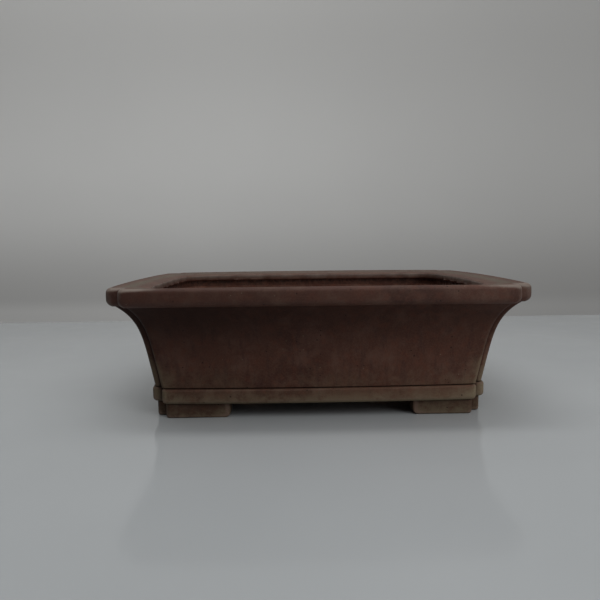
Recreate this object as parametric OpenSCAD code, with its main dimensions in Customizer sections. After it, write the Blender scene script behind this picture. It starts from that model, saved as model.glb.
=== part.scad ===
// Shallow rectangular bonsai pot in unglazed stoneware, built up from slabs, strips and coils.
// The long side that faces -Y is the front. The origin is the middle of the footprint on the
// ground, with +X along the pot's length and +Z up. All sizes are in millimetres.

/* [Overall] */
// Length over the rim
pot_l = 300; // [230:5:420]
// Depth over the rim, from front to back
pot_w = 218; // [165:1:320]
// Height over all
pot_h = 97; // [72:1:150]
// How far each side bows out in its middle
side_bow = 2.5; // [0:0.5:5]

/* [Rim] */
// Height of the rim's outer face, with its rounded edges
rim_h = 13; // [9:0.5:18]
// Width of the rim strips, from the outer face to the mouth
rim_w = 25; // [21:0.5:34]
// Fall of the rim's top from its outer edge to the mouth
rim_fall = 2; // [0:0.5:4]
// Height of the lip's face round the mouth
lip_h = 5.7; // [3:0.1:7]
// Radius of the lip's two edges
lip_round = 1.2; // [0.4:0.2:1.4]
// Radius of the rim's upper outer edge
rim_round = 3; // [1.5:0.5:4]
// Radius of the rim's lower outer edge, which runs down to the top of the wall
rim_low_round = 4.5; // [2:0.5:4.5]
// Depth of the corner grooves in the rim, and in the wall just under it
rim_groove = 11.8; // [8:0.2:15]
// Radius of the rim's rounded ends beside each groove
rim_end_r = 5.5; // [5:0.5:7]

/* [Walls] */
// Thickness of the wall slabs
wall_t = 7; // [5:0.5:10]
// Inset of the walls' foot from the rim's outer face
wall_foot_in = 26.5; // [20:0.5:34]
// Lean of the lower wall from upright, in degrees
wall_lean = 9.3; // [4:0.1:13]
// How late the wall flares out: a higher number keeps the flare close under the rim
flare_power = 6; // [3:0.5:9]
// Depth of the corner grooves in the lower wall
wall_groove = 6.7; // [4:0.1:9]
// Radius of the walls' rounded ends beside each groove
wall_end_r = 3.5; // [2:0.5:5]
// Extra thickness at the top of the walls, which carries the rim's inner edge
wall_root = 7; // [0:0.5:9]
// Radius of the walls' inside corners, before the coils are pressed in
inside_corner_r = 20; // [10:1:24]
// Depth of the fine groove between the walls and the belt
seam_groove = 0.8; // [0.4:0.1:1.4]

/* [Coils] */
// Greatest thickness of the coils in the upright inside corners
corner_coil_t = 2.6; // [1.5:0.1:4]
// Leg of the fillet coils between the walls and the floor
seam_coil = 6; // [3:0.5:9]

/* [Base] */
// Thickness of the floor slab, and height of the belt round its edge
floor_t = 11; // [8:0.5:15]
// How far the belt stands out from the walls' foot
belt_proud = 2; // [1:0.5:4]
// Thickness of the belt strips in the middle of each side
belt_t = 7.5; // [6:0.5:10]
// Radius of the belt's lower edge
belt_low_r = 3; // [1:0.5:3.5]
// Radius of the belt's upper edge
belt_top_r = 1.8; // [0.8:0.2:3]
// Depth of the corner grooves in the belt
belt_groove = 8.9; // [5:0.1:11]
// Radius of the belt's rounded ends beside each groove
belt_end_r = 4; // [3.5:0.5:5]
// Clay left in the belt behind each groove
belt_web = 4; // [3:0.5:6]

/* [Feet] */
// Height of the feet
foot_h = 11; // [6:0.5:20]
// How far the feet stand back from the belt
foot_set_in = 3.1; // [0.5:0.1:6]
// Thickness of the feet's two legs
foot_t = 12; // [9:0.5:18]
// Length of the legs along the pot's long sides, from the corner groove
foot_leg_l = 45.5; // [25:0.5:60]
// Length of the legs along the pot's short sides, from the corner groove
foot_leg_w = 34; // [25:1:45]
// Depth of the corner grooves in the feet
foot_groove = 7.8; // [4:0.1:8.5]
// Radius of the feet's rounded ends beside each groove
foot_end_r = 4; // [2.5:0.5:5]
// Radius of the lower corner at the end of each leg
foot_scoop = 4; // [2:0.5:6]
// Radius of the feet's lower edges
foot_edge_r = 1.5; // [0.5:0.5:2]

/* [Drainage] */
// Diameter of the two drain holes
drain_d = 24; // [15:1:30]
// Distance between the drain holes' centres
drain_gap = 110; // [90:1:140]
// Diameter of the four tie-wire holes
wire_d = 5; // [3:0.5:6]
// Distance along the pot between the tie-wire holes' centres
wire_gap_l = 60; // [40:1:64]
// Distance across the pot between the tie-wire holes' centres
wire_gap_w = 64; // [40:1:80]

/* [Hidden] */

half_l = pot_l / 2;
half_w = pot_w / 2;
floor_z = foot_h + floor_t;     // top of the floor slab and of the belt
rim_z = pot_h - rim_h;          // top of the walls, where the rim sits
wall_h = rim_z - floor_z;
flare = wall_foot_in - wall_h * tan(wall_lean) - rim_low_round;
belt_in = wall_foot_in - belt_proud;
floor_in = belt_in + belt_t;
floor_chamfer = 2 * (side_bow + belt_groove + belt_web - belt_t);
foot_in = belt_in + side_bow + foot_set_in;
lip_z = pot_h - rim_fall - lip_h;

clay = [0.27, 0.19, 0.16];
rim_clay = [0.33, 0.24, 0.20];
belt_clay = [0.33, 0.28, 0.21];
foot_clay = [0.28, 0.22, 0.17];
hole_over = 1;                  // how far the drills run past the floor's two faces

end_steps = 5;                  // steps round each rounded end
face_steps = 8;                 // steps along each bowed face
edge_steps = 3;                 // steps round each edge's radius
wall_steps = 12;                // steps up each wall
wall_ease = 1.6;                // crowds the wall's steps towards its flare
fillet_steps = 3;               // steps up each seam coil
coil_steps = 4;                 // steps across each corner coil's face

// Inset of the wall's outer face from the rim's, at height z: a steady lean and a late flare
function wall_out(z) = wall_foot_in - (z - floor_z) * tan(wall_lean)
    - flare * pow(max(0, z - floor_z) / wall_h, flare_power);

// Sideways run of the wall's outer face for each millimetre of height
function wall_slope(z) = tan(wall_lean)
    + flare * flare_power / wall_h * pow(max(0, z - floor_z) / wall_h, flare_power - 1);

// Horizontal thickness of the wall before its root, square to its slope
function wall_run(z) = wall_t * sqrt(1 + pow(wall_slope(z), 2));

// Inset of the wall's inner face, whose root always stays behind the lip
function wall_in(z) = wall_out(z) + wall_run(z)
    + max(0, min(wall_root, rim_w - lip_round - 0.8 - rim_low_round - wall_run(rim_z)))
        * pow(max(0, z - floor_z) / wall_h, flare_power);

// Depth of the wall's corner groove at height z, which opens out with the flare
function groove_at(z) = wall_groove
    + (rim_groove - wall_groove) * pow(max(0, z - floor_z) / wall_h, flare_power);

// Heights up the wall between two limits, closer together towards the flare
function heights(low, high) = [for (i = [0:wall_steps])
    low + (high - low) * (1 - pow(1 - i / wall_steps, wall_ease))];

// Half a side from its mitre to the end of its face, as [along, out] points. u and v are the
// face's distances from the middle of the pot, along and across the side.
function grooved_half(u, v, groove, r) = let (end = u - side_bow - groove)
    concat([[end, v - side_bow - groove]],
        [for (i = [0:end_steps]) let (a = 90 * i / end_steps)
            [end - r + r * cos(a), v - side_bow - r + r * sin(a)]]);

// The same for an inside face, which turns its corner on a radius
function inside_half(u, v, r) = [for (i = [0:end_steps + 1])
    let (a = 45 + 45 * i / (end_steps + 1))
        [u - side_bow - r + r * cos(a), v - side_bow - r + r * sin(a)]];

// The same for a flat face with chamfered corners
function chamfered_half(u, v, c) = [for (i = [0:end_steps + 1])
    let (t = i / (end_steps + 1) / 2) [u - c / 2 - c * t, v - c / 2 + c * t]];

// A whole side from mitre to mitre: one half, the bowed face, and the half mirrored
function whole_side(half, bow) = let (last = len(half) - 1, end = half[last])
    concat(half,
        [for (i = [1:face_steps - 1]) let (t = 1 - 2 * i / face_steps)
            [end.x * t, end.y + bow * (1 - t * t)]],
        [for (i = [last:-1:0]) [-half[i].x, half[i].y]]);

// One row of a section: a whole side's stations, all at height z
function at_height(side, z) = [for (p = side) [p.x, p.y, z]];
function grooved_row(u, v, inset, groove, r, z) =
    at_height(whole_side(grooved_half(u - inset, v - inset, groove, r), side_bow), z);
function inside_row(u, v, inset, r, z) =
    at_height(whole_side(inside_half(u - inset, v - inset, r), side_bow), z);
function chamfered_row(u, v, inset, c, z) =
    at_height(whole_side(chamfered_half(u - inset, v - inset, c), 0), z);

// Insets and heights round a quarter circle of radius r, from its foot up to its crown
function low_edge(r) = [for (i = [0:edge_steps]) let (a = 90 * i / edge_steps)
    [r * (1 - sin(a)), r * (1 - cos(a))]];
function top_edge(r) = [for (i = [0:edge_steps]) let (a = 90 * i / edge_steps)
    [r * (1 - cos(a)), r * (sin(a) - 1)]];

// A closed solid through a list of rings. A ring runs anticlockwise for someone who looks
// along the solid from its first ring to its last.
module loft(rings) {
    n = len(rings);
    m = len(rings[0]);
    polyhedron(
        points = [for (ring = rings) each ring],
        faces = concat(
            [[for (k = [m - 1:-1:0]) k]],
            [[for (k = [0:m - 1]) (n - 1) * m + k]],
            [for (i = [0:n - 2]) for (k = [0:m - 1])
                let (a = i * m + k, b = i * m + (k + 1) % m)
                    each [[a, b, b + m], [a, b + m, a + m]]]));
}

// A strip or slab from mitre to mitre. Its rows run up its outer face and down its inner one.
module strip(rows) {
    loft([for (i = [0:len(rows[0]) - 1]) [for (row = rows) row[i]]]);
}

module wall_panel(u, v) {
    inner = concat(
        [for (i = [0:fillet_steps - 1]) floor_z + seam_coil * i / fillet_steps],
        heights(floor_z + seam_coil, rim_z));
    strip(concat(
        [grooved_row(u, v, wall_foot_in + seam_groove, wall_groove, wall_end_r, floor_z)],
        [for (z = heights(floor_z + seam_groove, rim_z))
            grooved_row(u, v, wall_out(z), groove_at(z), wall_end_r, z)],
        [for (i = [len(inner) - 1:-1:0])
            inside_row(u, v, wall_in(inner[i]), inside_corner_r, inner[i])]));
}

module rim_strip(u, v) {
    strip(concat(
        [for (p = low_edge(rim_low_round))
            grooved_row(u, v, p[0], rim_groove, rim_end_r - p[0], rim_z + p[1])],
        [for (p = top_edge(rim_round))
            grooved_row(u, v, p[0], rim_groove, rim_end_r - p[0], pot_h + p[1])],
        [for (p = [[rim_w - lip_round, pot_h - rim_fall], [rim_w, pot_h - rim_fall - lip_round],
                [rim_w, lip_z + lip_round], [rim_w - lip_round, lip_z],
                [wall_in(rim_z), rim_z]])
            inside_row(u, v, p[0], inside_corner_r, p[1])]));
}

module belt_strip(u, v) {
    strip(concat(
        [for (p = low_edge(belt_low_r))
            grooved_row(u, v, belt_in + p[0], belt_groove, belt_end_r - p[0], foot_h + p[1])],
        [for (p = top_edge(belt_top_r))
            grooved_row(u, v, belt_in + p[0], belt_groove, belt_end_r - p[0], floor_z + p[1])],
        [for (z = [floor_z, foot_h]) chamfered_row(u, v, floor_in, floor_chamfer, z)]));
}

// Fillet between a wall and the floor. Its back is the wall's own inner face.
module seam_strip(u, v) {
    steps = [for (i = [0:fillet_steps]) seam_coil * i / fillet_steps];
    ends = end_steps + 1;
    rows = concat(
        [for (h = steps) [h, 0]],
        [for (i = [fillet_steps - 1:-1:0])
            [steps[i], seam_coil - sqrt(pow(seam_coil, 2) - pow(seam_coil - steps[i], 2))]]);
    strip([for (row = rows) let (z = floor_z + row[0], side = inside_row(u, v, wall_in(z),
            inside_corner_r, z)) [for (i = [ends:ends + face_steps])
                side[i] - [0, row[1], 0]]]);
}

// Coil in the upright inside corner at +X +Y. Its back is the wall's inner corner radius.
module corner_coil() {
    r = inside_corner_r;
    bulge = r * (1 - cos(45)) - corner_coil_t;
    levels = concat(
        [for (i = [0:fillet_steps - 1]) floor_z + seam_coil * i / fillet_steps],
        heights(floor_z + seam_coil, rim_z));
    back_steps = 2 * (end_steps + 1);
    loft([for (j = [len(levels) - 1:-1:0])
        let (z = levels[j], x = half_l - wall_in(z) - side_bow - r,
            y = half_w - wall_in(z) - side_bow - r)
        concat(
            [for (i = [0:back_steps]) let (a = 90 * i / back_steps)
                [x + r * cos(a), y + r * sin(a), z]],
            [for (i = [1:coil_steps - 1])
                let (t = i / coil_steps, out = 4 * bulge * t * (1 - t) * sin(45))
                    [x + r * t + out, y + r * (1 - t) + out, z]])]);
}

// L-shaped foot at the corner at +X +Y
module foot_bracket() {
    // Rows as [inset, height] down the outer face and up the inner one
    low = low_edge(foot_edge_r);
    outer = concat([[0, foot_h]], [for (i = [edge_steps:-1:0]) low[i]]);
    inner = concat([for (p = low) [foot_t - p[0], p[1]]], [[foot_t, foot_h]]);

    // Stations of a leg from its free end to the groove, as [from groove, set in, lift]
    function scoop(length, set_in) = [for (i = [0:edge_steps]) let (a = 90 * i / edge_steps)
        [length - foot_scoop * (1 - cos(a)), set_in, foot_scoop * (1 - sin(a))]];
    function outer_leg(length, d) = let (r = foot_end_r - d) concat(
        scoop(length, d),
        [for (i = [0:end_steps]) let (a = 90 * i / end_steps)
            [foot_end_r - r * sin(a), foot_end_r - r * cos(a), 0]],
        [[d, foot_groove + d, 0]]);
    function inner_leg(length, d) = let (from = length - foot_scoop, to = d - foot_groove)
        concat(scoop(length, d),
            [for (i = [1:end_steps + 2]) [from + (to - from) * i / (end_steps + 2), d, 0]]);

    // A station's place on the leg along X, and the same for the leg along Y
    function raised(h, lift) = lift + h * (1 - lift / foot_h);
    function on_x(s, h) = [half_l - foot_in - foot_groove - s[0], half_w - foot_in - s[1],
        raised(h, s[2])];
    function on_y(s, h) = [half_l - foot_in - s[1], half_w - foot_in - foot_groove - s[0],
        raised(h, s[2])];
    function row(leg_x, leg_y, h) = concat(
        [for (s = leg_x) on_x(s, h)],
        [for (i = [len(leg_y) - 2:-1:0]) on_y(leg_y[i], h)]);

    strip(concat(
        [for (p = outer) row(outer_leg(foot_leg_l, p[0]), outer_leg(foot_leg_w, p[0]), p[1])],
        [for (p = inner) row(inner_leg(foot_leg_l, p[0]), inner_leg(foot_leg_w, p[0]), p[1])]));
}

// Each side's own place: the shapes above are made for the side at +Y
module on_back() { children(); }
module on_front() { rotate([0, 0, 180]) children(); }
module on_left() { rotate([0, 0, 90]) children(); }
module on_right() { rotate([0, 0, -90]) children(); }

// Each corner's own place: the shapes above are made for the corner at +X +Y
module at_corner(x, y) { mirror([1 - x, 0, 0]) mirror([0, 1 - y, 0]) children(); }

module floor_slab() {
    x = half_l - floor_in;
    y = half_w - floor_in;
    c = floor_chamfer;
    color(clay) difference() {
        translate([0, 0, foot_h]) linear_extrude(floor_t)
            polygon([[x, y - c], [x - c, y], [c - x, y], [-x, y - c],
                [-x, c - y], [c - x, -y], [x - c, -y], [x, c - y]]);
        for (s = [-1, 1]) {
            translate([s * drain_gap / 2, 0, foot_h - hole_over])
                cylinder(d = drain_d, h = floor_t + 2 * hole_over, $fn = 64);
            for (t = [-1, 1])
                translate([s * wire_gap_l / 2, t * wire_gap_w / 2, foot_h - hole_over])
                    cylinder(d = wire_d, h = floor_t + 2 * hole_over, $fn = 32);
        }
    }
}

module wall_front() { color(clay) on_front() wall_panel(half_l, half_w); }
module wall_back() { color(clay) on_back() wall_panel(half_l, half_w); }
module wall_left() { color(clay) on_left() wall_panel(half_w, half_l); }
module wall_right() { color(clay) on_right() wall_panel(half_w, half_l); }

module rim_front() { color(rim_clay) on_front() rim_strip(half_l, half_w); }
module rim_back() { color(rim_clay) on_back() rim_strip(half_l, half_w); }
module rim_left() { color(rim_clay) on_left() rim_strip(half_w, half_l); }
module rim_right() { color(rim_clay) on_right() rim_strip(half_w, half_l); }

module belt_front() { color(belt_clay) on_front() belt_strip(half_l, half_w); }
module belt_back() { color(belt_clay) on_back() belt_strip(half_l, half_w); }
module belt_left() { color(belt_clay) on_left() belt_strip(half_w, half_l); }
module belt_right() { color(belt_clay) on_right() belt_strip(half_w, half_l); }

module foot_front_left() { color(foot_clay) at_corner(0, 0) foot_bracket(); }
module foot_front_right() { color(foot_clay) at_corner(1, 0) foot_bracket(); }
module foot_back_left() { color(foot_clay) at_corner(0, 1) foot_bracket(); }
module foot_back_right() { color(foot_clay) at_corner(1, 1) foot_bracket(); }

module corner_coil_front_left() { color(clay) at_corner(0, 0) corner_coil(); }
module corner_coil_front_right() { color(clay) at_corner(1, 0) corner_coil(); }
module corner_coil_back_left() { color(clay) at_corner(0, 1) corner_coil(); }
module corner_coil_back_right() { color(clay) at_corner(1, 1) corner_coil(); }

module seam_coil_front() { color(clay) on_front() seam_strip(half_l, half_w); }
module seam_coil_back() { color(clay) on_back() seam_strip(half_l, half_w); }
module seam_coil_left() { color(clay) on_left() seam_strip(half_w, half_l); }
module seam_coil_right() { color(clay) on_right() seam_strip(half_w, half_l); }

floor_slab();
wall_front();
wall_back();
wall_left();
wall_right();
rim_front();
rim_back();
rim_left();
rim_right();
belt_front();
belt_back();
belt_left();
belt_right();
foot_front_left();
foot_front_right();
foot_back_left();
foot_back_right();
corner_coil_front_left();
corner_coil_front_right();
corner_coil_back_left();
corner_coil_back_right();
seam_coil_front();
seam_coil_back();
seam_coil_left();
seam_coil_right();
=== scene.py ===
import math
import bpy
import numpy as np
from mathutils import Matrix, Vector


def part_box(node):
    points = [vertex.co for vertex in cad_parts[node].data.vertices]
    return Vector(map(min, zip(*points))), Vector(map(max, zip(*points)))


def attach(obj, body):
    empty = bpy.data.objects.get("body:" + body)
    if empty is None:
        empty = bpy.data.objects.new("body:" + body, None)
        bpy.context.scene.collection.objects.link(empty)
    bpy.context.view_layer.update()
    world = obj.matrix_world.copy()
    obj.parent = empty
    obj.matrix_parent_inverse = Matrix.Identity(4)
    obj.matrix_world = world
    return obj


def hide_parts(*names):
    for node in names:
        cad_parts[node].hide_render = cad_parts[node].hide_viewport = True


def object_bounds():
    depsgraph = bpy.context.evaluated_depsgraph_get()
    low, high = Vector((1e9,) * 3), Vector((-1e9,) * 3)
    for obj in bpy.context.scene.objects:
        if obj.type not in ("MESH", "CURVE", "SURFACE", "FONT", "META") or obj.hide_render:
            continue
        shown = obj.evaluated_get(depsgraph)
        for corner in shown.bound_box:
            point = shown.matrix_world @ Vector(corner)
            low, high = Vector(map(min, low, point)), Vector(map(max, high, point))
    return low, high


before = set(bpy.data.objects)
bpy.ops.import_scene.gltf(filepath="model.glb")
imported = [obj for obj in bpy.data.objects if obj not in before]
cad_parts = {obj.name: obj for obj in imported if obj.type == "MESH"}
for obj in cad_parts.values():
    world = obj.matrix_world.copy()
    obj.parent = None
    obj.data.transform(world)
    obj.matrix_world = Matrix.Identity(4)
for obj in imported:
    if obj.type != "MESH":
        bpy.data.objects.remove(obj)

cadBox = [list(corner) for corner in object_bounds()]
mm = 0.001

# Overall sizes of the pot in millimetres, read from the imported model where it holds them
pot = {
    "halfLength": cadBox[1][0] / mm,
    "halfWidth": cadBox[1][1] / mm,
    "height": cadBox[1][2] / mm,
    "rimBase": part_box("rim_front")[0].z / mm,
    "floorTop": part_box("belt_front")[1].z / mm,
    "footTop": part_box("belt_front")[0].z / mm,
    "beltIn": (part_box("belt_front")[0].y - cadBox[0][1]) / mm,
    "footIn": (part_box("foot_front_left")[0].y - cadBox[0][1]) / mm,
    "lipBase": 89.3,
    "bow": 2.5,             # each side swells out this much in its middle
    "insideRound": 20,      # radius of the inside corners
    "grooveSoftness": 1.6,  # radius of the fillet at the bottom of each corner groove
    "leastRound": 0.9,      # the rounded end of a side is never tighter than this
    "easeRun": 20,          # length at each end over which a face eases back
    "sharpAngle": 38,       # edges that turn by more degrees than this stay sharp
}

# Places along a side: this many round each of its ends, and this many quads between them
endPlaces = 19
faceSteps = 72
sidePlaces = 2 * endPlaces + faceSteps - 1


def smoothStep(t):
    t = np.clip(t, 0, 1)
    return t * t * (3 - 2 * t)


def bell(value, centre, spread):
    # A bell curve: e to the power of minus the square of the distance from the centre, in spreads
    return np.exp(-((value - centre) / spread) ** 2)


# Lines that a side of the pot follows, seen from above

def groovedSide(u, v, inset, groove, radius, ease=0.0):
    # From one corner groove to the other: a small fillet at the bottom of the groove, its straight
    # side, a quarter circle, the bowed face (a parabola), and the same again mirrored. The face
    # eases back by a square law over its last part, so that it meets the quarter circle softly.
    inset, groove, radius, ease = (np.asarray(a, float)[:, None]
                                   for a in np.broadcast_arrays(inset, groove, radius, ease))
    end, face = u - inset - pot["bow"] - groove, v - inset - pot["bow"]
    soft = pot["grooveSoftness"]
    turn = np.radians(np.linspace(225, 180, 5))
    filletX, filletY = end + soft + soft * np.cos(turn), face - groove + soft + soft * np.sin(turn)
    along = np.linspace(0, 1, 5)[1:-1]
    straightY = face - groove + soft + (groove - soft - radius) * along
    turn = np.radians(np.linspace(0, 90, 11))
    arcX, arcY = end - radius + radius * np.cos(turn), face - radius + radius * np.sin(turn)
    halfX = np.concatenate([filletX, end + 0 * straightY, arcX], 1)
    halfY = np.concatenate([filletY, straightY, arcY], 1)
    halfY = halfY - ease * smoothStep(np.linspace(0, 2, endPlaces))
    return wholeSide(halfX, halfY, pot["bow"], ease)


def insideSide(u, v, inset):
    # The same number of places along an inside face, whose corners are eighths of a circle
    inset = np.asarray(inset, float)[:, None]
    radius = pot["insideRound"]
    turn = np.radians(np.linspace(45, 90, endPlaces))
    halfX = u - inset - pot["bow"] - radius + radius * np.cos(turn)
    halfY = v - inset - pot["bow"] - radius + radius * np.sin(turn)
    return wholeSide(halfX, halfY, pot["bow"])


def chamferedSide(u, v, inset, chamfer):
    # The same number of places along a flat face with chamfered corners
    inset = np.asarray(inset, float)[:, None]
    t = np.linspace(0, 0.5, endPlaces)
    halfX, halfY = u - inset - chamfer / 2 - chamfer * t, v - inset - chamfer / 2 + chamfer * t
    return wholeSide(halfX, halfY, 0)


def wholeSide(halfX, halfY, bow, ease=0.0):
    # Joins one end to its mirror image by a face, a parabola whose own ends ease back
    t = np.linspace(1, -1, faceSteps + 1)[1:-1]
    faceX = halfX[:, -1:] * t
    nearEnd = np.clip(1 - (halfX[:, -1:] - np.abs(faceX)) / pot["easeRun"], 0, 1)
    faceY = halfY[:, -1:] + ease * (1 - nearEnd ** 2) + bow * (1 - t * t)
    return np.stack([np.concatenate([halfX, faceX, -halfX[:, ::-1]], 1),
                     np.concatenate([halfY, faceY, halfY[:, ::-1]], 1)], 2)


def atHeights(lines, heights):
    # Sets each line of places at its own height
    z = np.broadcast_to(np.asarray(heights, float)[:, None, None], lines.shape[:2] + (1,))
    return np.concatenate([lines, z], 2)


def lowEdge(radius, steps):
    # Insets and heights round a quarter circle, from its foot up to the face
    a = np.radians(np.linspace(0, 90, steps + 1))
    return radius * (1 - np.sin(a)), radius * (1 - np.cos(a))


def topEdge(radius, steps):
    # The same from the face up to the top
    a = np.radians(np.linspace(0, 90, steps + 1))
    return radius * (1 - np.cos(a)), radius * (np.sin(a) - 1)


hand = {"wander": 0.22, "cornerDroop": 0.8, "rimWave": 0.25, "liftFrom": 30, "liftOver": 54}


def handMade(points):
    # The slight unevenness of a pot built by hand. Each point moves in towards the middle by a sum
    # of slow sine waves, the rim's top dips a little in slow waves, and its corners droop by a
    # product of squares. Every piece moves by the same rule, so pieces that touch still touch.
    x, y, z = points[..., 0], points[..., 1], points[..., 2]
    slow = (np.sin(x / 27 + z / 19 + 0.7) + np.sin(y / 23 - z / 31 + 2.1)
            + np.sin(x / 61 - y / 43 + 4.0)) / 6
    inward = hand["wander"] * (0.5 + slow)
    lift = smoothStep((z - hand["liftFrom"]) / hand["liftOver"])
    wave = hand["rimWave"] * (0.5 + 0.25 * np.sin(x / 37 + 1.9) + 0.25 * np.sin(y / 33 - x / 71))
    corner = (x / pot["halfLength"]) ** 2 * (y / pot["halfWidth"]) ** 2
    return np.stack([x * (1 - inward / pot["halfLength"]), y * (1 - inward / pot["halfWidth"]),
                     z - lift * (wave + hand["cornerDroop"] * corner)], -1)


# Painted shade on the outside faces: the colour darkens towards the left end, where less light falls, and
# under the rim's overhang
paintedShade = {"leftEnd": 0.38, "underRim": 0.42, "from": -160, "over": 330}
finishes = {}


def addPiece(name, points, faces, marks, node, slot):
    # points are in millimetres; marks are values at the points that the clay's material reads
    marks = {mark: np.asarray(values, float).ravel() for mark, values in marks.items()}
    # Painted shade: outer faces grow darker towards the left end, and the wall adds its own painted shade
    # under the rim
    leftward = 1 - smoothStep((points[:, 0] - paintedShade["from"]) / paintedShade["over"])
    leftShade = marks.pop("outer", 0 * leftward) * paintedShade["leftEnd"] * leftward
    marks["paintedShading"] = leftShade + marks.pop("underRimShade", 0)
    mesh = bpy.data.meshes.new(name)
    mesh.from_pydata((handMade(points) * mm).tolist(), [], faces)
    mesh.polygons.foreach_set("use_smooth", np.ones(len(mesh.polygons), bool))
    mesh.set_sharp_from_angle(angle=math.radians(pot["sharpAngle"]))
    for mark, values in marks.items():
        layer = mesh.attributes.new(mark, "FLOAT", "POINT")
        layer.data.foreach_set("value", values.astype(np.float32))
    mesh.validate()
    mesh.update()
    piece = bpy.data.objects.new(name, mesh)
    bpy.context.scene.collection.objects.link(piece)
    mesh.materials.append(finishes[slot])
    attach(piece, "root")
    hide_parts(node)


def ringFaces(stations, rows, mirrored=False):
    # Quads round a tube of closed rings, one ring for each station, and a face over each end
    i, j = np.meshgrid(np.arange(stations - 1), np.arange(rows), indexing="ij")
    here, up = i * rows + j, i * rows + (j + 1) % rows
    quads = np.stack([here, here + rows, up + rows, up], -1).reshape(-1, 4)
    caps = [list(range(rows)), list(range(stations * rows - 1, (stations - 1) * rows - 1, -1))]
    faces = quads.tolist() + caps
    return [face[::-1] for face in faces] if mirrored else faces


# Each side's turn in degrees, half its length, and its distance from the middle
sides = {
    "front": (180, pot["halfLength"], pot["halfWidth"]),
    "back": (0, pot["halfLength"], pot["halfWidth"]),
    "left": (90, pot["halfWidth"], pot["halfLength"]),
    "right": (-90, pot["halfWidth"], pot["halfLength"]),
}


def turned(points, degrees):
    c, s = round(math.cos(math.radians(degrees))), round(math.sin(math.radians(degrees)))
    return np.stack([points[..., 0] * c - points[..., 1] * s,
                     points[..., 0] * s + points[..., 1] * c, points[..., 2]], -1)


def addStrip(kind, side, rows, marks, slot):
    # A closed strip between two mitres. Its rows run up the outer face and down the inner one.
    rings = turned(rows, sides[side][0]).transpose(1, 0, 2)
    layers = {mark: np.broadcast_to(values, rows.shape[:2]).T for mark, values in marks.items()}
    name = kind.replace("_coil", "Coil") + side.capitalize()
    addPiece(name, rings.reshape(-1, 3), ringFaces(*rings.shape[:2]), layers, kind + "_" + side, slot)


def grooveMarks():
    # How deep in a corner groove each place along a side is, and how far out on its rounded end
    deep, out = np.zeros(sidePlaces), np.zeros(sidePlaces)
    deep[:endPlaces] = np.clip(1.15 - np.arange(endPlaces) / 9, 0, 1)
    out[:endPlaces + 3] = bell(np.arange(endPlaces + 3), 12, 4)
    return np.maximum(deep, deep[::-1]), np.maximum(out, out[::-1])


deepAlong, outAlong = grooveMarks()

# The rounded ends again, spread wider along the side
spread = bell(np.linspace(-1.6, 1.6, 17), 0, 1)
broadAlong = np.convolve(outAlong, spread / spread.sum(), "same")


class Wire:
    # A value that comes out of a node. Python arithmetic on it adds Math nodes.
    def __init__(self, clay, socket):
        self.clay, self.socket = clay, socket

    def __add__(self, other):
        return self.clay.maths("ADD", self, other)

    def __sub__(self, other):
        return self.clay.maths("SUBTRACT", self, other)

    def __rsub__(self, other):
        return self.clay.maths("SUBTRACT", other, self)

    def __mul__(self, other):
        return self.clay.maths("MULTIPLY", self, other)

    __radd__ = __add__
    __rmul__ = __mul__


class Clay:
    # Builds one material
    def __init__(self, name):
        self.material = bpy.data.materials.new(name)
        self.material.use_nodes = True
        self.tree = self.material.node_tree
        self.tree.nodes.clear()

    def node(self, kind, settings, sockets, output=0):
        made = self.tree.nodes.new("ShaderNode" + kind)
        for key, value in settings.items():
            setattr(made, key, value)
        for key, value in sockets.items():
            if isinstance(value, Wire):
                self.tree.links.new(value.socket, made.inputs[key])
            else:
                made.inputs[key].default_value = value
        return Wire(self, made.outputs[output]) if made.outputs else None

    def maths(self, operation, a, b):
        return self.node("Math", {"operation": operation}, {0: a, 1: b})

    def soft(self, value, low, high):
        return self.node("MapRange", {"interpolation_type": "SMOOTHSTEP"},
                         {"Value": value, "From Min": low, "From Max": high})

    def noise(self, place, scale, detail=3.0, roughness=0.5):
        return self.node("TexNoise", {}, {"Vector": place, "Scale": scale, "Detail": detail,
                                          "Roughness": roughness})

    def blend(self, amount, a, b):
        return self.node("Mix", {"data_type": "RGBA"}, {0: amount, 6: a, 7: b}, 2)

    def mark(self, name):
        return self.node("Attribute", {"attribute_name": name}, {}, 2)

    def place(self):
        return self.node("TexCoord", {}, {}, 3)

    def axis(self, vector, number):
        return self.node("SeparateXYZ", {}, {0: vector}, number)

    def stretched(self, place, scale):
        return self.node("Mapping", {}, {"Vector": place, "Scale": scale})

    def surface(self, sockets):
        self.node("OutputMaterial", {}, {"Surface": self.node("BsdfPrincipled", {}, sockets)})


def fired(red, green, blue):
    return (red, green, blue, 1.0)


# Scale, detail and roughness of each noise in the clay, coarsest first
noises = {
    "broad": (16, 3, 0.5), "patches": (42, 6, 0.7), "cloudy": (75, 4, 0.6), "flecks": (150, 5, 0.75),
    "ruddy": (190, 3, 0.6), "streaks": (260, 3, 0.55), "tears": (330, 3, 0.6), "drags": (700, 2, 0.5),
    "grain": (900, 3, 0.6), "grit": (2600, 2, 0.5),
}
speckle = {"scale": 420, "pale": (0.972, 0.98), "dark": (0.03, 0.045)}


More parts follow.
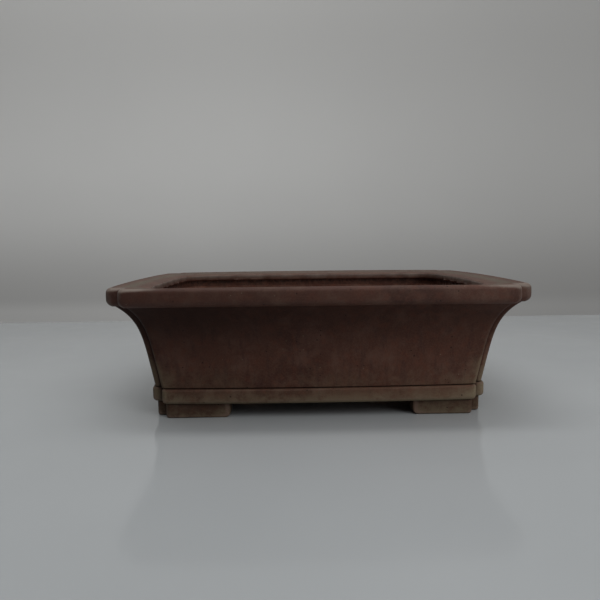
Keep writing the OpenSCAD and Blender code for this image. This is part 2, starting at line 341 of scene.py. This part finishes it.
def makeStoneware(name, look):
    clay = Clay(name)
    place = clay.place()
    height = clay.axis(place, 2)
    wearAndHighlight, deep, scraped, dust, paintedShading = (clay.mark(word) for word in
                                        ("wearAndHighlight", "deep", "scraped", "dust", "paintedShading"))

    broad = clay.noise(place, *noises["broad"])
    cloudy = clay.noise(place, *noises["cloudy"])
    grain = clay.noise(place, *noises["grain"])
    ruddy = clay.noise(place, *noises["ruddy"])
    streaks = clay.noise(clay.stretched(place, (1, 1, 0.09)), *noises["streaks"])
    drags = clay.noise(clay.stretched(place, (0.12, 0.12, 1)), *noises["drags"])

    colour = clay.blend(clay.soft(broad, 0.38, 0.62), look["dark"], look["mid"])
    colour = clay.blend(clay.soft(cloudy, 0.42, 0.72) * 0.8, colour, look["light"])
    colour = clay.blend(clay.soft(ruddy, 0.45, 0.7) * 0.5, colour, look["red"])
    colour = clay.blend(clay.soft(streaks, 0.48, 0.7) * look["streaks"], colour, look["streak"])

    # Ochre and grey bloom, thickest low down
    low = 1 - clay.soft(height, look["bloomLow"], look["bloomHigh"])
    patches = clay.noise(place, *noises["patches"]) * 0.6 + clay.noise(place, *noises["flecks"]) * 0.4
    patchy = clay.soft(patches + dust * 0.08 + low * 0.08, 0.40, 0.68)
    bloom = patchy * (low * look["bloomLowAmount"] + dust * look["dusty"] + look["bloomAmount"])
    colour = clay.blend(clay.soft(bloom, 0.0, 1.0), colour, look["bloom"])

    # Mineral specks, dark and pale: round spots at the middles of some of the cells
    cells = {"Vector": place, "Scale": speckle["scale"]}
    speck = clay.node("TexVoronoi", {}, cells)
    tint = clay.axis(clay.node("TexVoronoi", {}, cells, 1), 0)
    pale = (1 - clay.soft(speck, 0.10, 0.2)) * clay.soft(tint, *speckle["pale"])
    pits = (1 - clay.soft(speck, 0.16, 0.3)) * (1 - clay.soft(tint, *speckle["dark"]))
    colour = clay.blend(pale * look["specks"], colour, look["speck"])
    colour = clay.blend(pits * 0.75, colour, look["pit"])
    colour = clay.blend(clay.soft(grain, 0.40, 0.72) * 0.35, colour, look["light"])
    colour = clay.blend((1 - clay.soft(grain, 0.25, 0.5)) * 0.35, colour, look["dark"])

    # Painted shade darkens the outside towards the left end, and the wall's outer face under the rim's
    # overhang
    colour = clay.blend(paintedShading * (0.7 + broad * 0.6), colour, look["paintedShadeColour"])

    # Handled edges are paler, grooves hold dark grime, and scraped clay is torn in patches; on the rim the
    # same marks also paint highlights and the shadow under the lip
    rubbedAndHighlit = clay.soft(wearAndHighlight * (0.45 + cloudy * 1.1), 0.25, 0.95)
    colour = clay.blend(rubbedAndHighlit * look["rubbedAndHighlit"], colour, look["edge"])
    grimeAndShade = clay.soft(deep * (0.7 + cloudy * 0.6), 0.3, 1.0)
    colour = clay.blend(grimeAndShade * look["grimeAndShade"], colour, look["pit"])
    torn = scraped * clay.soft(clay.noise(place, *noises["tears"]), 0.42, 0.6)
    colour = clay.blend(torn * 0.8, colour, look["torn"])

    matt = (look["roughness"] + (grain - 0.5) * 0.16 + (cloudy - 0.5) * 0.14
            - rubbedAndHighlit * 0.10 + bloom * 0.12)
    relief = (grain * 0.5 + clay.noise(place, *noises["grit"]) * 0.25 + cloudy * 0.8 + streaks * 0.3
              + drags * look["drags"] - pits * 0.9 + torn * 1.6)
    bump = clay.node("Bump", {}, {"Height": relief, "Strength": 0.55, "Distance": look["relief"]})
    clay.surface({"Base Color": colour, "Roughness": matt, "Normal": bump,
                  "Specular IOR Level": look["sheen"]})
    finishes[name] = clay.material


bodyLook = {
    "dark": fired(0.0738, 0.0304, 0.0221), "mid": fired(0.1144, 0.0498, 0.0342),
    "light": fired(0.1625, 0.0849, 0.0628), "red": fired(0.1551, 0.0536, 0.0324),
    # The colour after the streaks is the painted shade at the left end and under the rim
    "streak": fired(0.0664, 0.0333, 0.0277), "streaks": 0.5, "paintedShadeColour": fired(0.0120, 0.0055, 0.0045),
    "bloom": fired(0.2041, 0.1509, 0.0976), "bloomLow": 0.022, "bloomHigh": 0.055,
    "bloomLowAmount": 0.4, "bloomAmount": 0.0, "dusty": 0.8,
    "speck": fired(0.2880, 0.2400, 0.1680), "specks": 0.6, "pit": fired(0.0100, 0.0050, 0.0040),
    "edge": fired(0.2130, 0.1420, 0.1108), "rubbedAndHighlit": 0.5, "grimeAndShade": 0.8,
    "torn": fired(0.1846, 0.0781, 0.0511), "roughness": 0.66, "sheen": 0.10, "relief": 0.0005,
    "drags": 0.15,
}
# On the rim the edge colour is also the colour of the painted highlights on the top edge and the lip's face
rimLook = dict(bodyLook, dark=fired(0.0659, 0.0283, 0.0204), mid=fired(0.0975, 0.0409, 0.0283),
               light=fired(0.1383, 0.0764, 0.0554), red=fired(0.1318, 0.0475, 0.0303), streaks=0.15,
               bloom=fired(0.1240, 0.1054, 0.0806), bloomLow=0.2, bloomHigh=0.3, bloomLowAmount=0.0,
               dusty=1.0, rubbedAndHighlit=0.85, edge=fired(0.2300, 0.1840, 0.1552), roughness=0.56, sheen=0.2)
beltLook = dict(bodyLook, dark=fired(0.0965, 0.0470, 0.0318), mid=fired(0.1397, 0.0724, 0.0470),
                light=fired(0.1841, 0.1168, 0.0800), red=fired(0.1715, 0.0711, 0.0445), streaks=0.15,
                bloom=fired(0.2540, 0.2032, 0.1333), bloomLow=0.2, bloomHigh=0.3, bloomLowAmount=0.0,
                bloomAmount=0.08, dusty=1.15, rubbedAndHighlit=0.5, drags=0.5)
footLook = dict(bodyLook, dark=fired(0.0610, 0.0317, 0.0214), mid=fired(0.0830, 0.0451, 0.0305),
                light=fired(0.1098, 0.0732, 0.0500), red=fired(0.1000, 0.0427, 0.0268), streaks=0.2,
                bloom=fired(0.1586, 0.1220, 0.0793), bloomLow=0.0, bloomHigh=0.012, bloomLowAmount=0.5,
                bloomAmount=0.5, rubbedAndHighlit=0.6)

makeStoneware("body_stoneware", bodyLook)
makeStoneware("rim_stoneware", rimLook)
makeStoneware("belt_stoneware", beltLook)
makeStoneware("foot_stoneware", footLook)
print("stoneware finishes made")


wall = {
    "thickness": 7, "lean": 9.3, "flarePower": 6, "topInset": 4.5, "footInset": pot["beltIn"] + 2,
    "groove": 6.7, "topGroove": 11.8, "endRadius": 3.5, "seam": 0.8, "root": 6.96, "ease": 0.6,
    "grimeAtFoot": 0.9, "grimeHeight": 1.2, "endWear": 0.3, "endDust": 1.7,
}
wall["height"] = pot["rimBase"] - pot["floorTop"]
wall["slant"] = math.tan(math.radians(wall["lean"]))
wall["flare"] = wall["footInset"] - wall["height"] * wall["slant"] - wall["topInset"]


def wallShare(z):
    return np.clip((z - pot["floorTop"]) / wall["height"], 0, 1)


def wallOut(z):
    # Inset of the outer face: a steady lean, and a flare that grows with a high power of the height
    flared = wall["flare"] * wallShare(z) ** wall["flarePower"]
    return wall["footInset"] - (z - pot["floorTop"]) * wall["slant"] - flared


def wallIn(z):
    # Inset of the inner face: the thickness is square to the slope, and grows to a root at the top
    power = wall["flarePower"]
    slope = wall["slant"] + wall["flare"] * power / wall["height"] * wallShare(z) ** (power - 1)
    root = wall["root"] * wallShare(z) ** power
    return wallOut(z) + wall["thickness"] * np.sqrt(1 + slope ** 2) + root


def wallGroove(z):
    deeper = (wall["topGroove"] - wall["groove"]) * wallShare(z) ** wall["flarePower"]
    return wall["groove"] + deeper


def crowded(low, high, steps, power=1.6):
    # Heights that crowd together towards the high end, by a power law
    t = np.linspace(0, 1, steps + 1)
    return low + (high - low) * (1 - (1 - t) ** power)


def makeWall(side):
    u, v = sides[side][1:]
    outer = crowded(pot["floorTop"] + wall["seam"], pot["rimBase"], 40)
    outer = np.concatenate([[pot["floorTop"]], outer])
    insets = wallOut(outer)
    insets[0] += wall["seam"]
    inner = crowded(pot["floorTop"], pot["rimBase"], 30)[::-1]
    rows = np.concatenate([
        atHeights(groovedSide(u, v, insets, wallGroove(outer), wall["endRadius"], wall["ease"]), outer),
        atHeights(insideSide(u, v, wallIn(inner)), inner)])
    isOuter = (np.arange(len(rows)) < len(outer))[:, None]
    share = np.concatenate([wallShare(outer), np.ones(len(inner))])[:, None]
    aboveFloor = np.concatenate([outer, inner])[:, None] - pot["floorTop"]
    grimeAndShade = wall["grimeAtFoot"] * np.exp(-aboveFloor / wall["grimeHeight"])
    underRim = smoothStep((share - 0.9) / 0.1) * isOuter
    # Painted shade under the rim's overhang: darker towards the top of the wall's outer face
    underRimShade = paintedShade["underRim"] * smoothStep((share - 0.2) / 0.7)
    endDust = np.minimum(broadAlong * wall["endDust"], 1)
    marks = {"deep": np.clip(isOuter * deepAlong + grimeAndShade, 0, 1),
             "wearAndHighlight": isOuter * outAlong * wall["endWear"] * (1 - underRim),
             "dust": isOuter * endDust * (1 - 0.8 * share ** 1.5),
             "outer": isOuter * 1.0,
             "underRimShade": isOuter * underRimShade}
    addStrip("wall", side, rows, marks, "body_stoneware")


# The crease and under-lip settings paint the shadow under the lip; the lip's wear setting paints light on its
# face, and the end top wear setting a highlight on the top edge near the ends
rim = {
    "width": 25, "fall": 2, "topRound": 3, "lowRound": 4.5, "lipRound": 1.4, "groove": 11.8,
    "endRadius": 5.5, "crown": 0.5, "crownReach": 6.5, "ease": 0.3, "lipFace": (1.9, 2.6),
    "ragged": 0.5, "topEdgeWearAndHighlight": 0.1, "endTopHighlight": 1.1, "lipPaintedLight": 0.7, "endWear": 0.5,
    "dust": 0.3, "dustStripe": 0.6, "grooveGrime": 0.7, "creaseShadow": 1.1, "underLipShade": 0.55,
    "scraped": 0.3,
}


def makeRim(side):
    u, v = sides[side][1:]
    lowIn, lowUp = lowEdge(rim["lowRound"], 8)
    topIn, topUp = topEdge(rim["topRound"], 8)
    faceUp = np.linspace(pot["rimBase"] + rim["lowRound"], pot["height"] - rim["topRound"], 6)[1:-1]
    outerIn = np.concatenate([lowIn, 0 * faceUp, topIn])
    outerZ = np.concatenate([pot["rimBase"] + lowUp, faceUp, pot["height"] + topUp])

    # The face is crowned by a parabola, except where the top has turned right over
    fromMiddle = np.abs(outerZ - (pot["rimBase"] + pot["height"]) / 2)
    crown = rim["crown"] * np.clip(fromMiddle / rim["crownReach"], 0, 1) ** 2
    outerIn = outerIn + crown * (outerIn < rim["topRound"])

    # The lip: a small quarter circle, a short face, another quarter circle and the way back under
    edge = np.radians(np.linspace(0, 90, 6))
    turnIn, turnZ = rim["lipRound"] * np.sin(edge), rim["lipRound"] * (1 - np.cos(edge))
    top, mouth = pot["height"] - rim["fall"], rim["width"]
    lipEnd = mouth - rim["lipRound"]
    under = np.linspace(lipEnd, wallIn(np.array(pot["rimBase"])), 5)[1:]
    innerIn = np.concatenate([lipEnd + turnIn, [mouth, mouth], lipEnd + turnIn[::-1], under])
    innerZ = np.concatenate([top - turnZ, [top - drop for drop in rim["lipFace"]],
                             pot["lipBase"] + turnZ[::-1],
                             np.linspace(pot["lipBase"], pot["rimBase"], 5)[1:]])
    endRadius = np.maximum(rim["endRadius"] - outerIn, pot["leastRound"])
    outerRows = atHeights(groovedSide(u, v, outerIn, rim["groove"], endRadius, rim["ease"]), outerZ)
    innerRows = atHeights(insideSide(u, v, innerIn), innerZ)

    # The lip's lower edge is ragged where clay was pressed up under it, by a product of sine waves
    ragged = innerRows[9:-1, endPlaces + 3:-endPlaces - 3]
    alongX = ragged[..., 0]
    ragged[..., 1] -= rim["ragged"] * (np.sin(alongX / 1.9 + 0.4) * np.sin(alongX / 5.3)
                                       + 0.6 * np.sin(alongX / 3.1 + u) ** 3)
    across = np.linspace(0, 1, 14)[1:-1, None, None]
    topRows = outerRows[-1] * (1 - across) + innerRows[0] * across
    rows = np.concatenate([outerRows, topRows, innerRows])

    # Rows are counted on from the outer face's last row, and from the top's last row
    index = np.arange(len(rows))[:, None]
    onTop, onLip = index - len(outerRows), index - len(outerRows) - len(topRows)
    isOuter = onTop < 0
    fromEnd = np.minimum(np.arange(sidePlaces), np.arange(sidePlaces)[::-1])
    # The top edge: a little wear along it, and a painted highlight near the ends
    topEdgeWearAndHighlight = bell(onTop, -4, 3) * (rim["topEdgeWearAndHighlight"] + rim["endTopHighlight"] * bell(np.maximum(fromEnd, 15), 15, 9))
    ends = np.minimum(broadAlong * 1.6, 1) * isOuter
    stripe = rim["dust"] + rim["dustStripe"] * bell(onTop, 5, 2.4)
    # Painted shadow: a dark line in the crease under the lip, and painted shade over the underside below it
    lipShadow = rim["creaseShadow"] * bell(onLip, 13.6, 0.95) + rim["underLipShade"] * (onLip > 13)
    # The wear mark also paints light on the lip's face, and the deep mark paints the shadow under the lip
    marks = {"deep": np.clip(isOuter * deepAlong * rim["grooveGrime"] + lipShadow, 0, 1),
             "outer": isOuter * 1.0,
             "wearAndHighlight": np.clip(topEdgeWearAndHighlight + rim["lipPaintedLight"] * bell(onLip, 5, 4) + rim["endWear"] * ends, 0, 1),
             "dust": (onTop >= -2) * (onLip < 3) * stripe,
             "scraped": (onLip > 9) * rim["scraped"]}
    addStrip("rim", side, rows, marks, "rim_stoneware")


belt = {
    "thickness": 7.5, "lowRound": 3, "topRound": 1.8, "groove": 8.9, "endRadius": 4, "web": 4,
    "ease": 0.3, "grimeOnTop": 0.9, "edgeWear": 0.6, "endWear": 0.4, "endDust": 1.2,
}
belt["chamfer"] = 2 * (pot["bow"] + belt["groove"] + belt["web"] - belt["thickness"])


def makeBelt(side):
    u, v = sides[side][1:]
    lowIn, lowUp = lowEdge(belt["lowRound"], 6)
    topIn, topUp = topEdge(belt["topRound"], 5)
    faceUp = np.linspace(pot["footTop"] + belt["lowRound"], pot["floorTop"] - belt["topRound"], 5)[1:-1]
    outerIn = np.concatenate([lowIn, 0 * faceUp, topIn])
    outerZ = np.concatenate([pot["footTop"] + lowUp, faceUp, pot["floorTop"] + topUp])
    endRadius = np.maximum(belt["endRadius"] - outerIn, pot["leastRound"])
    outerRows = atHeights(groovedSide(u, v, pot["beltIn"] + outerIn, belt["groove"], endRadius,
                                      belt["ease"]), outerZ)
    back = pot["beltIn"] + belt["thickness"]
    innerRows = atHeights(chamferedSide(u, v, [back, back], belt["chamfer"]),
                          [pot["floorTop"], pot["footTop"]])
    rows = np.concatenate([outerRows, innerRows])
    n = len(outerRows)
    index = np.arange(len(rows))[:, None]
    isOuter = index < n
    edges = bell(index, n - 4, 1.6) + 0.9 * bell(index, 5, 1.8)
    dust = broadAlong * belt["endDust"] + 1.0 - 1.5 * index / n
    marks = {"deep": np.clip(isOuter * deepAlong + (index >= n - 1) * belt["grimeOnTop"], 0, 1),
             "wearAndHighlight": np.clip(edges * belt["edgeWear"] + belt["endWear"] * outAlong * isOuter, 0, 1),
             "dust": isOuter * np.clip(dust, 0, 1),
             "outer": isOuter * 1.0}
    addStrip("belt", side, rows, marks, "belt_stoneware")


for side in sides:
    makeWall(side)
    makeRim(side)
    makeBelt(side)
print("walls, rims and belts made")


# The long legs of the two feet on the left, at -1, are a little longer than those on the right
# outer sets how strongly the painted shade at the left end falls on the feet
foot = {
    "thickness": 12, "legLong": {-1: 47, 1: 44}, "legShort": 34, "groove": 7.8, "endRadius": 4,
    "scoop": 4, "edge": 1.5, "softness": 1.4, "outer": 0.5,
}


def level(fromGroove, setIn):
    # Places on a leg that aren't raised
    return np.stack([fromGroove, setIn + 0 * fromGroove, 0 * fromGroove], 1)


def footLeg(length, inset, outside):
    # Places along one leg, from its free end to the corner, as [from the groove, set in, raised].
    # Each leg starts with a quarter-circle scoop. The outside ends in a quarter circle round the
    # groove's edge and an eighth of a circle into the groove.
    scoop, radius, soft = foot["scoop"], foot["endRadius"], foot["softness"]
    a = np.radians(np.linspace(0, 90, 7))
    start = np.stack([length - scoop * (1 - np.cos(a)), inset + 0 * a, scoop * (1 - np.sin(a))], 1)
    if outside:
        b = np.radians(np.linspace(0, 90, 10))
        c = np.radians(np.linspace(0, 45, 5))
        return np.concatenate([
            start,
            level(np.linspace(length - scoop, radius, 12)[1:-1], inset),
            level(radius - (radius - inset) * np.sin(b), radius - (radius - inset) * np.cos(b)),
            level(inset - soft * (1 - np.cos(c)), foot["groove"] + inset - soft * (1 - np.sin(c)))])
    return np.concatenate([start, level(np.linspace(length - scoop, inset - foot["groove"], 26)[1:], inset)])


def footRow(inset, height, outside, sx):
    # One row round both legs of a foot, by way of its corner
    cornerX, cornerY = pot["halfLength"] - pot["footIn"], pot["halfWidth"] - pot["footIn"]
    longLeg = footLeg(foot["legLong"][sx], inset, outside)
    shortLeg = footLeg(foot["legShort"], inset, outside)
    longUp, shortUp = (leg[:, 2] + height * (1 - leg[:, 2] / pot["footTop"]) for leg in (longLeg, shortLeg))
    onX = np.stack([cornerX - foot["groove"] - longLeg[:, 0], cornerY - longLeg[:, 1], longUp], 1)
    onY = np.stack([cornerX - shortLeg[:, 1], cornerY - foot["groove"] - shortLeg[:, 0], shortUp], 1)
    return np.concatenate([onX, onY[::-1][1:]])


def makeFoot(name, sx, sy):
    lowIn, lowUp = lowEdge(foot["edge"], 4)
    rise = np.linspace(foot["edge"], pot["footTop"], 6)
    insets = np.concatenate([0 * rise[:0:-1], lowIn[::-1]])
    heights = np.concatenate([rise[:0:-1], lowUp[::-1]])
    outer = np.stack([footRow(i, h, True, sx) for i, h in zip(insets, heights)])
    inner = np.stack([footRow(foot["thickness"] - i, h, False, sx)
                      for i, h in zip(insets[::-1], heights[::-1])])
    rows = np.concatenate([outer, inner]) * np.array([sx, sy, 1])
    rings = rows.transpose(1, 0, 2)
    isOuter = (np.arange(len(rows)) < len(outer))[:, None]
    z = rows[..., 2]

    # Marks follow the distance from the corner, in places, and the height
    middle = (len(rings) - 1) / 2
    fromCorner = np.abs(np.arange(len(rings)) - middle)
    groove = isOuter * np.clip(1.1 - fromCorner / 6, 0, 1)
    grimeAndShade = 0.7 * np.exp(-z / 0.5) + 0.8 * np.exp((z - pot["footTop"]) / 0.8)
    wearAndHighlight = (0.6 * bell(z, 1.2, 1.4) + 0.5 * isOuter * bell(fromCorner, 9, 3.5)
            + 0.9 * bell(middle - fromCorner, 4, 2.5))
    marks = {"deep": np.clip(groove + grimeAndShade, 0, 1).T,
             "wearAndHighlight": wearAndHighlight.T,
             "outer": np.broadcast_to(isOuter * foot["outer"], z.shape).T}
    addPiece("foot" + name.title().replace("_", ""), rings.reshape(-1, 3),
             ringFaces(*rings.shape[:2], sx * sy > 0), marks, "foot_" + name, "foot_stoneware")


corners = {"front_left": (-1, -1), "front_right": (1, -1), "back_left": (-1, 1), "back_right": (1, 1)}
for name, signs in corners.items():
    makeFoot(name, *signs)
print("feet made")


# Coils are pressed into the inside corners, and along the floor
coil = {
    "thickness": 2.6, "fillet": 6, "roughness": 0.3, "grimeAndShade": 0.2, "scraped": 0.55,
    "seamGrime": 0.35, "seamScraped": 0.5,
}


def makeCornerCoil(name, sx, sy):
    # The back follows the walls' round inside corner. The face is a shallow parabola across it,
    # with a ripple that is a product of sine waves.
    radius = pot["insideRound"]
    bulge = radius * (1 - math.cos(math.radians(45))) - coil["thickness"]
    seamTop = pot["floorTop"] + coil["fillet"]
    z = np.concatenate([np.linspace(pot["floorTop"], seamTop, 5)[:-1],
                        crowded(seamTop, pot["rimBase"], 36)])[::-1, None]
    x = pot["halfLength"] - wallIn(z) - pot["bow"] - radius
    y = pot["halfWidth"] - wallIn(z) - pot["bow"] - radius
    a = np.radians(np.linspace(0, 90, 19))
    t = np.linspace(0, 1, 14)[1:-1]
    ripple = coil["roughness"] * np.sin(9 * t + z / 2.3) * np.sin(np.pi * t) * np.sin(z / 5.1)
    out = 4 * bulge * t * (1 - t) * math.sin(math.radians(45)) + ripple
    ringX = np.concatenate([x + radius * np.cos(a), x + radius * t + out], 1)
    ringY = np.concatenate([y + radius * np.sin(a), y + radius * (1 - t) + out], 1)
    rings = np.stack([ringX * sx, ringY * sy, np.broadcast_to(z, ringX.shape)], 2)
    marks = {"deep": np.full(ringX.shape, coil["grimeAndShade"]), "scraped": np.full(ringX.shape, coil["scraped"])}
    addPiece("cornerCoil" + name.title().replace("_", ""), rings.reshape(-1, 3),
             ringFaces(*rings.shape[:2], sx * sy < 0), marks, "corner_coil_" + name, "body_stoneware")


def makeSeamCoil(side):
    # A fillet whose back is the wall's inner face and whose face is a quarter circle, from one
    # inside corner to the other
    leg = coil["fillet"]
    backH = np.linspace(0, leg, 9)
    faceH = backH[-2::-1]
    z = pot["floorTop"] + np.concatenate([backH, faceH])
    stand = np.concatenate([0 * backH, leg - np.sqrt(np.maximum(leg ** 2 - (leg - faceH) ** 2, 0))])
    lines = insideSide(*sides[side][1:], wallIn(z))[:, endPlaces - 1:1 - endPlaces]
    lines = lines - np.stack([0 * stand, stand], 1)[:, None, :]
    marks = {"deep": coil["seamGrime"], "scraped": coil["seamScraped"]}
    addStrip("seam_coil", side, atHeights(lines, z), marks, "body_stoneware")


for name, signs in corners.items():
    makeCornerCoil(name, *signs)
for side in sides:
    makeSeamCoil(side)
print("coils made")

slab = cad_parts["floor_slab"]
slab.data.materials.clear()
slab.data.materials.append(finishes["body_stoneware"])


# Distances in metres, and what the table and the backdrop are made of
stage = {
    "tableFront": -1.6, "tableBack": 0.437, "half": 2.2,
    "backdropAt": 0.72, "backdropFoot": -0.4, "backdropTop": 1.6,
    "tableDark": fired(0.425, 0.445, 0.455), "tableLight": fired(0.455, 0.475, 0.485), "tableSheen": 0.35,
    "paperDark": fired(0.36, 0.355, 0.345), "paperLight": fired(0.80, 0.795, 0.775), "paperRoughness": 0.9,
}


def addSheet(name, corners, material, steps=24):
    # A flat sheet between four corners, on a grid of two parameters
    a, b, c, d = (np.array(corner, float) for corner in corners)
    i, j = np.meshgrid(np.arange(steps + 1), np.arange(steps + 1), indexing="ij")
    s, t = i[..., None] / steps, j[..., None] / steps
    grid = (a * (1 - s) + b * s) * (1 - t) + (d * (1 - s) + c * s) * t
    here = (i * (steps + 1) + j)[:-1, :-1]
    quads = np.stack([here, here + steps + 1, here + steps + 2, here + 1], -1).reshape(-1, 4)
    mesh = bpy.data.meshes.new(name)
    mesh.from_pydata(grid.reshape(-1, 3).tolist(), [], quads.tolist())
    mesh.update()
    mesh.materials.append(material)
    sheet = bpy.data.objects.new(name, mesh)
    bpy.context.scene.collection.objects.link(sheet)


def makeTable():
    gloss = Clay("pale gloss table")
    place = gloss.place()
    cloud = gloss.soft(gloss.noise(place, 3.5), 0.3, 0.7)
    colour = gloss.blend(cloud, stage["tableDark"], stage["tableLight"])
    smooth = 0.10 + gloss.soft(gloss.noise(place, 30), 0.35, 0.75) * 0.06
    gloss.surface({"Base Color": colour, "Roughness": smooth, "Specular IOR Level": stage["tableSheen"]})
    w, near, far = stage["half"], stage["tableFront"], stage["tableBack"]
    addSheet("table", [(-w, near, 0), (w, near, 0), (w, far, 0), (-w, far, 0)], gloss.material)


def makeBackdrop():
    # Painted light and shade: the paper is palest a little above the table, and darkens upwards and to the
    # right, where less light falls
    paper = Clay("grey paper backdrop")
    place = paper.place()
    up, across = paper.axis(place, 2), paper.axis(place, 0)
    shade = 0.68 + 0.30 * paper.soft(up, 0.02, 0.2) - 0.46 * paper.soft(up, 0.25, 0.6)
    shade = shade + 0.32 * (1 - paper.soft(up, -0.02, 0.015))
    shade = shade * (1 - 0.5 * paper.soft(across, -0.3, 0.65)) * (0.94 + 0.12 * paper.noise(place, 4, 2))
    colour = paper.blend(shade, stage["paperDark"], stage["paperLight"])
    paper.surface({"Base Color": colour, "Roughness": stage["paperRoughness"]})
    w, y, foot, top = stage["half"], stage["backdropAt"], stage["backdropFoot"], stage["backdropTop"]
    addSheet("backdrop", [(-w, y, foot), (w, y, foot), (w, y, top), (-w, y, top)], paper.material)


# Each light's place, the point it faces, its width and height in metres, and its watts
softboxes = {
    "overhead softbox": ((0.2, -0.55, 2.0), (0, -0.05, 0), 2.8, 2.6, 26),
    "front softbox": ((2.0, -2.4, 2.1), (0, 0, 0.05), 1.6, 1.6, 16),
    "right softbox": ((0.8, -0.75, 0.4), (0, -0.05, 0.05), 0.5, 0.5, 1.4),
    "backdrop softbox": ((-0.4, 0.0, 1.7), (-0.35, 0.72, 0.2), 1.6, 0.3, 6.0),
}
studio = {"colour": (0.9, 0.95, 1.0, 1), "strength": 0.04}


def addSoftbox(name, place, aim, width, height, watts):
    light = bpy.data.lights.new(name, "AREA")
    light.shape, light.size, light.size_y = "RECTANGLE", width, height
    light.energy = watts
    lamp = bpy.data.objects.new(name, light)
    lamp.location = place
    lamp.rotation_euler = (Vector(aim) - Vector(place)).to_track_quat("-Z", "Y").to_euler()
    bpy.context.scene.collection.objects.link(lamp)


def lightStudio():
    world = bpy.data.worlds.new("studio")
    world.use_nodes = True
    background = world.node_tree.nodes["Background"].inputs
    background["Color"].default_value = studio["colour"]
    background["Strength"].default_value = studio["strength"]
    bpy.context.scene.world = world


# yaw turns the view to the right, pitch turns it down, roll tips it clockwise, all in degrees
view = {"place": (-0.0207, -0.461, 0.1248), "yaw": 1.05, "pitch": 5.92, "roll": -0.62,
        "lens": 32.4, "sensor": 36, "nearest": 0.02, "farthest": 20}


def makeCamera():
    yaw, pitch, roll = (math.radians(view[angle]) for angle in ("yaw", "pitch", "roll"))
    ahead = Vector((math.sin(yaw) * math.cos(pitch), math.cos(yaw) * math.cos(pitch), -math.sin(pitch)))
    right = Vector((math.cos(yaw), -math.sin(yaw), 0))
    up = right.cross(ahead)
    axisX = right * math.cos(roll) + up * math.sin(roll)
    axisY = up * math.cos(roll) - right * math.sin(roll)
    camera = bpy.data.objects.new("camera", bpy.data.cameras.new("camera"))
    camera.data.lens, camera.data.sensor_width = view["lens"], view["sensor"]
    camera.data.clip_start, camera.data.clip_end = view["nearest"], view["farthest"]
    turn = Matrix((axisX, axisY, -ahead)).transposed()
    camera.matrix_world = Matrix.Translation(view["place"]) @ turn.to_4x4()
    bpy.context.scene.collection.objects.link(camera)
    bpy.context.scene.camera = camera


makeTable()
makeBackdrop()
for name, settings in softboxes.items():
    addSoftbox(name, *settings)
lightStudio()
makeCamera()
bpy.context.scene.view_settings.view_transform = "Standard"
print("stage, lights and camera made")
